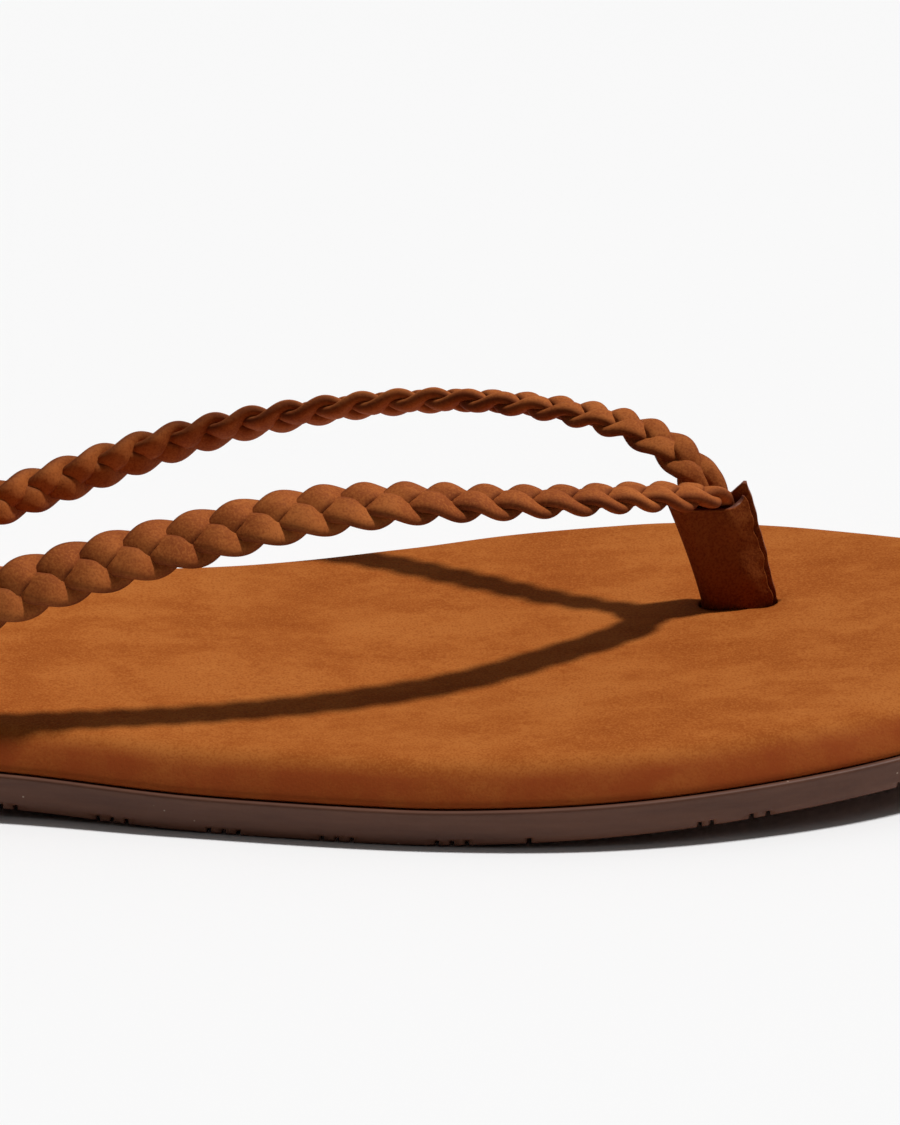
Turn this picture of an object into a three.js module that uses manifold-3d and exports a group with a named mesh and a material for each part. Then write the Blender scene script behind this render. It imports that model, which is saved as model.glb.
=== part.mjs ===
// Flat leather flip flop with two braided straps and a folded toe post.
// Units are millimetres, +Z is up, +X points to the toe, +Y to the inner side
// of a right foot, and the origin is the middle of the sole on the ground.
import * as THREE from 'three';
import Module from 'manifold-3d';
import { mergeVertices } from 'three/addons/utils/BufferGeometryUtils.js';

const wasm = await Module();
wasm.setup();

// ---- sizes of the sole -----------------------------------------------------
const SOLE_HALF_LENGTH = 128;
const SPRING_START = 40;
const SPRING_SLOPE = 0.075;
const SPRING_EASE = 20;
const ARCH_START = -68;
const ARCH_LENGTH = 92;
const ARCH_RISE = 1.4;
const RUBBER_TOP = 4.4;
const FOOTBED_TOP = 9.2;
const THINNING_START = 40;
const THINNING_AT_TOE = 0.2;
const STATIONS = 32;

// edge of the leather seen from above, [x, y], counter-clockwise from the heel
const OUTLINE = [
  [-128, -2], [-121, -20], [-108, -29.5], [-90, -32.5], [-60, -31.6],
  [-30, -31.2], [-5, -32.5], [18, -37.2], [47, -41.4], [70, -40.7],
  [93.4, -34.1], [108, -25.9], [119, -15], [126, -3.5], [128, 5],
  [126, 13.5], [119, 23.6], [108, 29.6], [98.2, 34.2], [88.5, 38.2],
  [76, 41.3], [66, 41.3], [53.3, 39.6], [40.8, 35.5], [28.4, 31.5],
  [16, 29], [0, 26.9], [-30, 27], [-60, 29], [-90, 29.6],
  [-108, 26], [-121.5, 16],
];

// sections of the sole pieces, [distance outward from the outline, height]
const OUTSOLE_SECTION = [
  [-1.4, 0], [0.2, 1.2], [0.6, 3.6], [0.5, 4.4], [-0.8, 4.4], [-0.8, 2.2],
];
const COVER_SECTION = [
  [-7, 8], [-5.2, 7.85], [-3.8, 7.4], [-2.5, 6.5], [-1.6, 5.5], [-2.1, 5.2],
  [-2.1, 3.75], [-9, 3.75], [-9, 2.45], [-1, 2.45], [-1, 4.5], [-0.1, 4.75],
  [-0.2, 5.4], [-1.05, 6.75], [-2.2, 8.05], [-3.5, 8.9], [-5.4, 9.2],
];
const FOAM_SECTION = [
  [-2.5, 5.35], [-2, 5.6], [-2.8, 6.5], [-4, 7.25], [-5.4, 7.65], [-7.2, 7.75],
];
const BOARD_SECTION = [[-2.4, 3.9], [-2.4, 5.15]];
const FILLER_SECTION = [[-9.5, 2.4], [-9.5, 3.65]];

// ---- tread -----------------------------------------------------------------
const GROOVE_WIDTH = 0.6;
const GROOVE_DEPTH = 0.75;
const GROOVE_STEP = 1.75;
const GROUP_PITCH = 13.5;
const LAST_GROUP = 55.3;
const GROUPS_BEHIND = 13;
// grooves of the forefoot that stand apart from the even groups, as distances
// of their points from the middle of the sole
const LONE_GROOVES = [64.2, 83.4, 84.7, 89.1, 90.9, 105.2, 107];
const CHEVRON_REACH = 9;
const GROOVE_HALF_SPAN = 46;

// ---- toe post --------------------------------------------------------------
const POST_X = 82;
const POST_Y = 9.4;
const POST_LENGTH = 9.6;
const POST_THICKNESS = 4.4;
const POST_WALL = 1.1;
const POST_LEAN = 0.27;
const POST_HEEL_HEIGHT = 12.4;
const POST_TOE_HEIGHT = 14.2;
const POST_FLARE = 0.32;
const FLAP_REACH = 9;
const FLAP_BOTTOM = 2.5;
const FLAP_TOP = 3.65;

// ---- straps ----------------------------------------------------------------
const SLOT_LENGTH = 9;
const SLOT_WIDTH = 3.8;
const SLOT_X = -27.5;
const LATERAL_SLOT_Y = -24.1;
const MEDIAL_SLOT_Y = 19.1;
const STRAND_WIDTH = 2;
const STRAND_THICKNESS = 0.85;
const TAIL_WIDTH = 1.6;
const TAIL_THICKNESS = 0.65;
const BRAID_SWING = 1.9;
const BRAID_RISE = 1.2;
const TAIL_SPACING = 2.3;
const TIP_SPACING = 1.8;
const STEPS_PER_TURN = 7.3;

// Strap paths from the tail under the footbed to the toe post:
// [x, y, height over the footbed, roll]. Roll is in degrees, zero with the flat
// side up and 90 with the flat side outward; null lays the width along X.
const LATERAL_PATH = [
  [-27.5, -7, -6.15, null], [-27.5, -19, -6.15, null], [-27.5, -22.7, -5.95, null],
  [-27.5, -24, -4.2, null], [-27.3, -24.1, -1, null], [-26.3, -24.6, 2.7, 90],
  [-21.5, -25.8, 7.4, 80], [-13, -27, 11.6, 62], [-4, -26.4, 15.35, 52],
  [6, -24.4, 18.5, 46], [17, -22, 21.15, 41], [30, -19.2, 23.5, 36],
  [42, -16.1, 23.6, 19], [52, -12.4, 22.15, 8], [61, -8.1, 20.4, 2],
  [69, -2.3, 18.3, 2], [75, 2.5, 16.3, 5], [77.6, 6.2, 14.8, null],
  [78.3, 8.92, 13, null], [78.6, 9, 10.8, null], [79.2, 8.98, 8, null],
];
const MEDIAL_PATH = [
  [-27.5, 2, -6.15, null], [-27.5, 14, -6.15, null], [-27.5, 17.7, -5.95, null],
  [-27.5, 19, -4.2, null], [-27.5, 19.1, -1, null], [-26.9, 19.4, 1.4, 90],
  [-24, 20.7, 3.5, 93], [-18, 23.8, 4.9, 96], [-10, 27.2, 6.15, 96],
  [-1, 31.7, 8.3, 88], [9, 35.2, 11.25, 71], [20, 36.6, 14.35, 50],
  [33, 35, 17.35, 33], [44, 32.4, 19.25, 27], [53, 28.4, 20.2, 13],
  [62, 22.9, 20.45, 2], [69.5, 17.2, 19.85, -12], [75, 13, 17.4, -31],
  [77.3, 10.9, 14.6, null], [78.1, 10.02, 11.6, null], [79, 9.98, 8, null],
];
const STRAPS = [
  { name: 'lateral', path: LATERAL_PATH, side: -1, turns: 8, start: 20, tips: [0, 1, -1] },
  { name: 'medial', path: MEDIAL_PATH, side: 1, turns: 8.3, start: 24.9, tips: [1, -1, 0] },
];
const BRAID_END_GAP = 7.9;
const BLEND_LENGTH = 4;

// ---- finishes --------------------------------------------------------------
function finish(color, roughness) {
  return new THREE.MeshStandardMaterial({
    color: new THREE.Color(color), roughness, metalness: 0,
  });
}
const rubberFinish = finish('#4e332a', 0.62);
const nubuckFinish = finish('#aa5d2a', 0.9);
const foamFinish = finish('#d8c7a8', 0.95);
const boardFinish = finish('#8d7355', 0.85);
const sleeveFinish = finish('#8a4720', 0.82);
const strandFinish = finish('#8f4a25', 0.72);

// ---- small helpers ---------------------------------------------------------
function clamp01(value) {
  return Math.min(Math.max(value, 0), 1);
}

function smooth(value) {
  const t = clamp01(value);
  return t * t * (3 - 2 * t);
}

// Height of a point of the sole after the toe spring and the arch are put in.
function bend(x, z) {
  const past = Math.max(x - SPRING_START, 0);
  const spring = (SPRING_SLOPE * past ** 2) / (past + SPRING_EASE);
  const arch = ARCH_RISE * Math.sin(Math.PI * clamp01((x - ARCH_START) / ARCH_LENGTH)) ** 2;
  const run = SOLE_HALF_LENGTH - THINNING_START;
  const thinning = THINNING_AT_TOE * clamp01((x - THINNING_START) / run);
  const squeezed = z <= RUBBER_TOP ? z * (1 - thinning) : z - RUBBER_TOP * thinning;
  return spring + arch + squeezed;
}

function solidFrom(vertices, triangles) {
  const mesh = new wasm.Mesh({
    numProp: 3,
    vertProperties: new Float32Array(vertices.flat()),
    triVerts: new Uint32Array(triangles.flat()),
  });
  return new wasm.Manifold(mesh);
}

function solidFromGeometry(geometry) {
  const plain = geometry.clone();
  plain.deleteAttribute('normal');
  plain.deleteAttribute('uv');
  const merged = mergeVertices(plain, 1e-5);
  const mesh = new wasm.Mesh({
    numProp: 3,
    vertProperties: new Float32Array(merged.attributes.position.array),
    triVerts: new Uint32Array(merged.index.array),
  });
  return new wasm.Manifold(mesh);
}

function meshFrom(solid, name, material) {
  const data = solid.getMesh();
  const geometry = new THREE.BufferGeometry();
  const positions = new THREE.Float32BufferAttribute(data.vertProperties, 3);
  geometry.setAttribute('position', positions);
  geometry.setIndex(new THREE.BufferAttribute(data.triVerts, 1));
  geometry.computeVertexNormals();
  const mesh = new THREE.Mesh(geometry, material.clone());
  mesh.name = name;
  return mesh;
}

// ---- the outline as pairs of points at shared stations ------------------------
function outlineRing() {
  const corners = OUTLINE.map(([x, y]) => new THREE.Vector3(x, y, 0));
  const dense = new THREE.CatmullRomCurve3(corners, true).getSpacedPoints(1440);
  dense.pop();
  const toe = dense.reduce((best, p, i) => (p.x > dense[best].x ? i : best), 0);
  const heel = dense.reduce((best, p, i) => (p.x < dense[best].x ? i : best), 0);
  const count = dense.length;
  const walk = (from, to) => {
    const steps = (to - from + count) % count;
    return Array.from({ length: steps + 1 }, (_, i) => (from + i) % count);
  };
  const lateral = walk(heel, toe);
  const medial = walk(toe, heel).reverse();
  const indexAt = (side, x) => {
    const found = side.find((i) => dense[i].x >= x);
    return found === undefined ? toe : found;
  };
  const stations = Array.from({ length: STATIONS - 1 }, (_, k) => (
    -SOLE_HALF_LENGTH * Math.cos((Math.PI * (k + 1)) / STATIONS)));
  const picks = [
    heel,
    ...stations.map((x) => indexAt(lateral, x)),
    toe,
    ...stations.map((x) => indexAt(medial, x)).reverse(),
  ];
  return picks.map((i) => {
    const before = dense[(i - 6 + count) % count];
    const after = dense[(i + 6) % count];
    const along = after.clone().sub(before).normalize();
    return { x: dense[i].x, y: dense[i].y, nx: along.y, ny: -along.x };
  });
}
const RING = outlineRing();

// A closed body that follows the outline with the given section. The section
// starts at the cap facing down and ends at the cap facing up.
function loft(section) {
  const count = RING.length;
  const vertices = section.flatMap(([offset, z]) => RING.map((p) => {
    const x = p.x + p.nx * offset;
    return [x, p.y + p.ny * offset, bend(x, z)];
  }));
  const triangles = [];
  for (let row = 0; row < section.length - 1; row += 1) {
    for (let i = 0; i < count; i += 1) {
      const a = row * count + i;
      const b = row * count + ((i + 1) % count);
      triangles.push([a, b, b + count], [a, b + count, a + count]);
    }
  }
  const last = (section.length - 1) * count;
  const half = count / 2;
  for (let i = 0; i < half; i += 1) {
    const mirror = (count - i) % count;
    const next = count - i - 1;
    if (i < half - 1) {
      triangles.push([last + i, last + i + 1, last + next]);
      triangles.push([i, next, i + 1]);
    } else {
      triangles.push([last + i, last + i + 1, last + mirror]);
      triangles.push([i, mirror, i + 1]);
    }
    if (i > 0 && i < half - 1) {
      triangles.push([last + i, last + next, last + mirror]);
      triangles.push([i, mirror, next]);
    }
  }
  return solidFrom(vertices, triangles);
}

// Straight slot with round ends, cut upright through the sole.
function slotCutter(x, y, length, width, bottom, top) {
  const radius = width / 2;
  const reach = length / 2 - radius;
  const shape = new THREE.Shape();
  shape.moveTo(-reach, -radius);
  shape.lineTo(reach, -radius);
  shape.absarc(reach, 0, radius, -Math.PI / 2, Math.PI / 2, false);
  shape.lineTo(-reach, radius);
  shape.absarc(-reach, 0, radius, Math.PI / 2, (3 * Math.PI) / 2, false);
  const geometry = new THREE.ExtrudeGeometry(shape, {
    depth: top - bottom, bevelEnabled: false, curveSegments: 6,
  });
  geometry.translate(x, y, bottom);
  return solidFromGeometry(geometry);
}

function boxCutter(x0, x1, y0, y1, z0, z1) {
  const geometry = new THREE.BoxGeometry(x1 - x0, y1 - y0, z1 - z0);
  geometry.translate((x0 + x1) / 2, (y0 + y1) / 2, (z0 + z1) / 2);
  return solidFromGeometry(geometry);
}

// ---- tread grooves -----------------------------------------------------------
// One chevron groove: a square section carried from side to side, pointing
// forward in the middle of the sole.
function chevronCutter(tip) {
  const arms = [-GROOVE_HALF_SPAN, 0, GROOVE_HALF_SPAN];
  const half = GROOVE_WIDTH / 2;
  const vertices = arms.flatMap((y) => {
    const x = tip - (Math.abs(y) * CHEVRON_REACH) / GROOVE_HALF_SPAN;
    return [[x - half, -1], [x + half, -1], [x + half, GROOVE_DEPTH], [x - half, GROOVE_DEPTH]]
      .map(([px, z]) => [px, y, bend(px, 0) + z]);
  });
  const triangles = [[0, 1, 2], [0, 2, 3], [8, 10, 9], [8, 11, 10]];
  for (let row = 0; row < 2; row += 1) {
    for (let i = 0; i < 4; i += 1) {
      const a = row * 4 + i;
      const b = row * 4 + ((i + 1) % 4);
      triangles.push([a, a + 4, b + 4], [a, b + 4, b]);
    }
  }
  return solidFrom(vertices, triangles);
}

// Points of the grooves: groups of three at an even pitch under the heel and the
// waist, then the lone ones of the forefoot.
function grooveTips() {
  const tips = [];
  for (let group = 0; group < GROUPS_BEHIND; group += 1) {
    for (let line = -1; line <= 1; line += 1) {
      tips.push(LAST_GROUP - group * GROUP_PITCH + line * GROOVE_STEP);
    }
  }
  return tips.concat(LONE_GROOVES);
}

function outsole() {
  let body = loft(OUTSOLE_SECTION);
  for (const tip of grooveTips()) body = body.subtract(chevronCutter(tip));
  return body;
}

// ---- holes for the straps and the post -----------------------------------------
function strapSlots(bottom, top) {
  const lateral = slotCutter(SLOT_X, LATERAL_SLOT_Y, SLOT_LENGTH, SLOT_WIDTH, bottom, top);
  const medial = slotCutter(SLOT_X, MEDIAL_SLOT_Y, SLOT_LENGTH, SLOT_WIDTH, bottom, top);
  return lateral.add(medial);
}

function postSlot(bottom, top) {
  const length = POST_LENGTH + 1;
  return slotCutter(POST_X, POST_Y, length, POST_THICKNESS + 0.5, bottom, top);
}

function tailPockets() {
  const reach = SLOT_LENGTH / 2;
  const lateral = boxCutter(SLOT_X - reach, SLOT_X + reach, -25.8, -5.5, 0, 6);
  const medial = boxCutter(SLOT_X - reach, SLOT_X + reach, 0.5, 20.8, 0, 6);
  const reachY = FLAP_REACH + POST_THICKNESS / 2;
  const flap = boxCutter(
    POST_X - 5.6, POST_X + 5.6, POST_Y - reachY, POST_Y + reachY, 0, 6);
  return lateral.add(medial).add(flap);
}

// ---- toe post --------------------------------------------------------------
// Cross-section of the folded leather, seen from above: a loop that is round at
// the fold on the heel side and pinched flat at the toe side.
function postLoop(length, thickness) {
  const half = length / 2;
  const t = thickness / 2;
  const bulge = Math.min(t, half);
  const side = [
    [half, t * 0.5], [half - 1.2, t * 0.8], [half - 2, t * 0.95], [half - 3, t],
    [0, t], [-half + bulge, t],
  ];
  const fold = Array.from({ length: 5 }, (_, i) => {
    const angle = Math.PI / 2 + (Math.PI * (i + 1)) / 6;
    return [-half + bulge + bulge * Math.cos(angle), t * Math.sin(angle)];
  });
  const back = side.map(([x, y]) => [x, -y]).reverse();
  return [...side, ...fold, ...back].map(([x, y]) => new THREE.Vector2(x, y));
}

// Carries a loop up the post; the top is cut at a slant.
function postColumn(length, thickness, bottom, topHeel, topToe) {
  const loop = postLoop(length, thickness);
  const rows = 5;
  const base = bend(POST_X, FOOTBED_TOP);
  const vertices = [];
  for (let row = 0; row < rows; row += 1) {
    for (const p of loop) {
      const across = clamp01((p.x + POST_LENGTH / 2) / POST_LENGTH);
      const step = smooth((across - 0.78) / 0.2);
      const top = base + topHeel + (topToe - topHeel) * step;
      const z = row === 0 ? bottom : base + ((top - base) * (row - 1)) / (rows - 2);
      const height = Math.max(z - base, 0);
      const flare = 1 + (POST_FLARE * height) / POST_TOE_HEIGHT;
      vertices.push([POST_X + p.x - POST_LEAN * height, POST_Y + p.y * flare, z]);
    }
  }
  const count = loop.length;
  const triangles = [];
  for (let row = 0; row < rows - 1; row += 1) {
    for (let i = 0; i < count; i += 1) {
      const a = row * count + i;
      const b = row * count + ((i + 1) % count);
      triangles.push([a, b, b + count], [a, b + count, a + count]);
    }
  }
  const caps = THREE.ShapeUtils.triangulateShape(loop, []);
  const last = (rows - 1) * count;
  for (const [a, b, c] of caps) {
    triangles.push([a, c, b], [last + a, last + b, last + c]);
  }
  return solidFrom(vertices, triangles);
}

function toePostSleeve() {
  const lift = bend(POST_X, 0);
  const bottom = bend(POST_X, FLAP_BOTTOM);
  const flapTop = bend(POST_X, FLAP_TOP) - 0.1;
  const inner = [POST_LENGTH - 2 * POST_WALL, POST_THICKNESS - 2 * POST_WALL];
  const outer = postColumn(
    POST_LENGTH, POST_THICKNESS, bottom + 0.1, POST_HEEL_HEIGHT, POST_TOE_HEIGHT);
  const hollow = postColumn(
    inner[0], inner[1], bottom - 1, POST_HEEL_HEIGHT + 4, POST_TOE_HEIGHT + 4);
  const half = POST_LENGTH / 2 - 0.2;
  const reachY = FLAP_REACH + POST_THICKNESS / 2 - 0.3;
  const flaps = boxCutter(
    POST_X - half, POST_X + half, POST_Y - reachY, POST_Y + reachY,
    bottom + 0.1, flapTop);
  const sideGap = boxCutter(
    POST_X - half + 0.3, POST_X + half - 0.3, POST_Y - inner[1] / 2, POST_Y + inner[1] / 2,
    lift, flapTop + 0.4);
  return outer.add(flaps).subtract(hollow).subtract(sideGap);
}

// ---- braided straps ----------------------------------------------------------
function spline(values, t) {
  const last = values.length - 1;
  const i = Math.min(Math.floor(t), last - 1);
  const f = t - i;
  const b = values[i];
  const c = values[i + 1];
  const a = i > 0 ? values[i - 1] : 2 * b - c;
  const d = i < last - 1 ? values[i + 2] : 2 * c - b;
  const cubic = 3 * (b - c) + d - a;
  return b + 0.5 * f * (c - a + f * (2 * a - 5 * b + 4 * c - d + f * cubic));
}

// Direction of the strap's width at one control point.
function widthHint(path, index, side) {
  const roll = path[index][3];
  if (roll === null) {
    return new THREE.Vector3(1, 0, 0);
  }
  const before = path[index - 1];
  const after = path[index + 1];
  const along = new THREE.Vector3(
    after[0] - before[0], after[1] - before[1], after[2] - before[2]).normalize();
  const outward = new THREE.Vector3(-along.y, along.x, 0).normalize().multiplyScalar(side);
  const upward = new THREE.Vector3().crossVectors(outward, along).normalize();
  upward.multiplyScalar(Math.sign(upward.z));
  const angle = THREE.MathUtils.degToRad(roll);
  return outward.multiplyScalar(Math.cos(angle)).addScaledVector(upward, -Math.sin(angle));
}

// The strap's middle line, cut into even steps with a frame at each step.
function strapFrames(strap) {
  const points = strap.path.map(([x, y, h]) => [x, y, bend(x, FOOTBED_TOP) + h]);
  const hints = strap.path.map((_, i) => widthHint(strap.path, i, strap.side).toArray());
  const at = (rows, t) => new THREE.Vector3(
    ...[0, 1, 2].map((k) => spline(rows.map((row) => row[k]), t)));
  const fine = (points.length - 1) * 24;
  const dense = Array.from({ length: fine + 1 }, (_, i) => ({ t: i / 24, p: at(points, i / 24) }));
  dense[0].s = 0;
  for (let i = 1; i <= fine; i += 1) {
    dense[i].s = dense[i - 1].s + dense[i].p.distanceTo(dense[i - 1].p);
  }
  const length = dense[fine].s;
  const frameAt = (s) => {
    const found = dense.findIndex((d) => d.s >= s);
    const i = Math.min(Math.max(found < 0 ? fine : found, 1), fine);
    const f = (s - dense[i - 1].s) / (dense[i].s - dense[i - 1].s);
    const t = dense[i - 1].t + f * (dense[i].t - dense[i - 1].t);
    const p = at(points, t);
    const along = at(points, Math.min(t + 0.02, points.length - 1))
      .sub(at(points, Math.max(t - 0.02, 0))).normalize();
    const width = at(hints, t);
    width.addScaledVector(along, -along.dot(width)).normalize();
    const normal = new THREE.Vector3().crossVectors(along, width);
    return { p, width, normal };
  };
  return { length, frameAt };
}

// Sideways place of each strand when the three lie side by side.
const ORDER = [0, 1, -1];

function strand(strap, index) {
  const { length, frameAt } = strapFrames(strap);
  const { start } = strap;
  const end = length - BRAID_END_GAP;
  const steps = Math.ceil((strap.turns * STEPS_PER_TURN * length) / (end - start));
  const centre = [];
  for (let i = 0; i <= steps; i += 1) {
    const s = (length * i) / steps;
    const q = clamp01((s - start) / (end - start));
    const phase = 2 * Math.PI * (strap.turns * q + index / 3);
    const braided = smooth((s - start + BLEND_LENGTH / 2) / BLEND_LENGTH)
      * smooth((end + BLEND_LENGTH / 2 - s) / BLEND_LENGTH);
    const side = BRAID_SWING * Math.sin(phase) * braided
      + (s < length / 2 ? ORDER[index] * TAIL_SPACING : strap.tips[index] * TIP_SPACING)
        * (1 - braided);
    const rise = -BRAID_RISE * Math.sin(2 * phase) * braided;
    const frame = frameAt(s);
    const p = frame.p.clone().addScaledVector(frame.width, side)
      .addScaledVector(frame.normal, rise);
    centre.push({ p, normal: frame.normal, braided });
  }
  const vertices = [];
  for (let i = 0; i <= steps; i += 1) {
    const before = centre[Math.max(i - 1, 0)].p;
    const after = centre[Math.min(i + 1, steps)].p;
    const along = after.clone().sub(before).normalize();
    const normal = centre[i].normal.clone();
    normal.addScaledVector(along, -along.dot(normal)).normalize();
    const width = new THREE.Vector3().crossVectors(normal, along);
    const b = centre[i].braided;
    const halfW = (TAIL_WIDTH + (STRAND_WIDTH - TAIL_WIDTH) * b) / 2;
    const halfT = (TAIL_THICKNESS + (STRAND_THICKNESS - TAIL_THICKNESS) * b) / 2;
    const section = [[1, 0], [0.5, 1], [-0.5, 1], [-1, 0], [-0.5, -1], [0.5, -1]];
    for (const [w, t] of section) {
      const v = centre[i].p.clone().addScaledVector(width, w * halfW)
        .addScaledVector(normal, t * halfT);
      vertices.push(v.toArray());
    }
  }
  const triangles = [];
  for (let row = 0; row < steps; row += 1) {
    for (let i = 0; i < 6; i += 1) {
      const a = row * 6 + i;
      const b = row * 6 + ((i + 1) % 6);
      triangles.push([a, b, b + 6], [a, b + 6, a + 6]);
    }
  }
  const last = steps * 6;
  for (let i = 1; i < 5; i += 1) {
    triangles.push([0, i + 1, i], [last, last + i, last + i + 1]);
  }
  return solidFrom(vertices, triangles);
}

// ---- assembly ----------------------------------------------------------------
const part = new THREE.Group();
part.name = 'flip_flop';
part.add(meshFrom(outsole(), 'outsole', rubberFinish));
part.add(meshFrom(loft(FILLER_SECTION).subtract(tailPockets()), 'midsole_filler', foamFinish));
part.add(meshFrom(
  loft(BOARD_SECTION).subtract(strapSlots(0, 12)).subtract(postSlot(0, 12)),
  'insole_board', boardFinish));
part.add(meshFrom(
  loft(FOAM_SECTION).subtract(strapSlots(0, 12)).subtract(postSlot(0, 12)),
  'footbed_foam', foamFinish));
part.add(meshFrom(
  loft(COVER_SECTION).subtract(strapSlots(0, 12)).subtract(postSlot(0, 12)),
  'footbed_cover', nubuckFinish));
part.add(meshFrom(toePostSleeve(), 'toe_post_sleeve', sleeveFinish));
for (const strap of STRAPS) {
  for (let index = 0; index < 3; index += 1) {
    part.add(meshFrom(strand(strap, index), `${strap.name}_strand_${index + 1}`, strandFinish));
  }
}

export default part;
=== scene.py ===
"""Flat leather flip flop: a nubuck footbed on a thin rubber sole, two braided
straps and a folded leather toe post. Lengths inside the functions are in
millimetres, +X to the toe, +Y to the inner side of the right foot, +Z up; a
mesh is turned into metres when it is made. The scales of the materials'
patterns are per metre."""
import math

import bpy
import numpy as np
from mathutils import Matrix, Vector


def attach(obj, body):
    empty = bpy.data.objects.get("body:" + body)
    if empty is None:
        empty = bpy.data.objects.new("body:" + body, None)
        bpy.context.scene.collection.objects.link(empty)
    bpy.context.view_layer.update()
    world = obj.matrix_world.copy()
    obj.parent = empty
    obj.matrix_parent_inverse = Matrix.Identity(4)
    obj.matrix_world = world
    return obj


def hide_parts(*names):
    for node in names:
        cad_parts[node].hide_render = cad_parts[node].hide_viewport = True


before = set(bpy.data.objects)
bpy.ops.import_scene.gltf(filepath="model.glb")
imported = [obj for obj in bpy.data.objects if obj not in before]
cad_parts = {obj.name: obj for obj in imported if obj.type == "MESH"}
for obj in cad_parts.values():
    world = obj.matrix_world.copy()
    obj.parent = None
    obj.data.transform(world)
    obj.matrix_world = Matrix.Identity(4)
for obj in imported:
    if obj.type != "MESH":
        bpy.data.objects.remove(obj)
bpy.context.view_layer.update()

MM = 0.001

# ---- sole ------------------------------------------------------------------
SOLE_HALF_LENGTH = 128.0
SPRING_START = 40.0
SPRING_SLOPE = 0.075
SPRING_EASE = 20.0
ARCH_START = -68.0
ARCH_LENGTH = 92.0
ARCH_RISE = 1.4
RUBBER_TOP = 4.4
FOOTBED_TOP = 9.2
THINNING_START = 40.0
THINNING_AT_TOE = 0.2
OUTLINE_SAMPLES = 48
# samples on each side of a point between which its outward direction is taken
NORMAL_REACH = 5
# columns of the grids: (stations along X, across the top sheet, across the bottom sheet)
OUTSOLE_GRID = (260, 24, 24)
COVER_GRID = (330, 90, 6)

OUTLINE = [
    (-128, -2), (-121, -20), (-108, -29.5), (-90, -32.5), (-60, -31.6),
    (-30, -31.2), (-5, -32.5), (18, -37.2), (47, -41.4), (70, -40.7),
    (93.4, -34.1), (108, -25.9), (119, -15), (126, -3.5), (128, 5),
    (126, 13.5), (119, 23.6), (108, 29.6), (98.2, 34.2), (88.5, 38.2),
    (76, 41.3), (66, 41.3), (53.3, 39.6), (40.8, 35.5), (28.4, 31.5),
    (16, 29), (0, 26.9), (-30, 27), (-60, 29), (-90, 29.6),
    (-108, 26), (-121.5, 16),
]
# sections run from the cap that faces down to the cap that faces up:
# (distance outward from the outline, height)
OUTSOLE_SECTION = [
    (-1.2, 0.0), (-0.3, 0.0), (-0.02, 0.08), (0.1, 0.3), (0.2, 1.0), (0.32, 2.0),
    (0.45, 3.2), (0.52, 3.75), (0.58, 4.0), (0.56, 4.25), (0.42, 4.4), (0.1, 4.45),
    (-0.3, 4.42), (-0.8, 4.4), (-0.85, 2.2),
]
COVER_SECTION = [
    (-7.0, 8.0), (-5.2, 7.85), (-3.8, 7.4), (-2.5, 6.5), (-1.6, 5.5), (-2.1, 5.2),
    (-2.1, 3.75), (-9.0, 3.75), (-9.0, 2.45), (-1.0, 2.45), (-0.95, 3.4), (-0.85, 4.3),
    (-0.35, 4.5), (-0.12, 4.75), (-0.1, 5.1), (-0.3, 5.6), (-0.68, 6.2), (-1.12, 6.85),
    (-1.6, 7.45), (-2.15, 8.02), (-2.75, 8.5), (-3.45, 8.88), (-4.3, 9.12), (-5.4, 9.2),
    (-7.2, 9.22),
]
# the last row of the cover's section that is inside or under it
COVER_OUTER_FOOT = 9
# the soft waves begin this high in the sole and are full WAVE_RUN higher
WAVE_FOOT = 5.0
WAVE_RUN = 4.0
# the mask rolled, which marks the rounded edge where shade is painted, begins this far below the top and
# is full ROLL_RUN lower
ROLL_START = 0.35
ROLL_RUN = 1.5
# the dips round the slots begin this far below the top and are full DIP_RUN higher
DIP_FLOOR = 2.5
DIP_RUN = 2.0
DIP_REACH = 1.1
SLOT_DIP = 0.55
POST_DIP = 0.35
CUTTER_TOP = 20.0
SLOT_ARC_POINTS = 9

# ---- tread -----------------------------------------------------------------
GROOVE_WIDTH = 0.6
GROOVE_DEPTH = 0.75
GROOVE_STEP = 1.75
GROUP_PITCH = 13.5
LAST_GROUP = 55.3
GROUPS_BEHIND = 13
# grooves of the forefoot that stand apart from the even groups
LONE_GROOVES = [64.2, 83.4, 84.7, 89.1, 90.9, 105.2, 107]
CHEVRON_REACH = 9.0
GROOVE_HALF_SPAN = 46.0
# how far the bars that cut the grooves stand out below the sole
BAR_BELOW = 1.0

# ---- toe post --------------------------------------------------------------
POST_X = 82.0
POST_Y = 9.4
POST_LENGTH = 9.6
POST_THICKNESS = 4.4
POST_WALL = 1.1
# from the post's middle to the middle of its wall, lengthways
POST_HALF = (POST_LENGTH - POST_WALL) / 2
POST_LEAN = 0.27
# how much longer and wider its slot is cut than the post
POST_SLACK = (0.2, 0.1)
# rows up the post and columns round the strip
POST_GRID = (90, 150)
# its foot in the sole, its rise over the footbed and the height where its spread is full
POST_FOOT = 2.6
POST_RISE = 12.5
POST_FULL_SPREAD = 15.0
# the rise of its toe-side corner, and what the inner layer adds
POST_PEAK = 1.5
POST_INNER_PEAK = 0.9
# half the fold's share of the way round, and how far the inner layer passes the outer
POST_FOLD_SHARE = 0.16
POST_INNER_PASS = 0.7
# share of its length that is left once the toe-side edges are drawn back
POST_DRAWN_BACK = 0.97
# shares by which it is pinched at its edges, and flares, widens and puffs out
POST_PINCH = 0.62
POST_FLARE = 0.28
POST_WIDEN = 0.05
POST_PUFF = 0.10
# how much of the outer layer's ripple the inner layer has
POST_INNER_RIPPLE = 0.35
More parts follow.
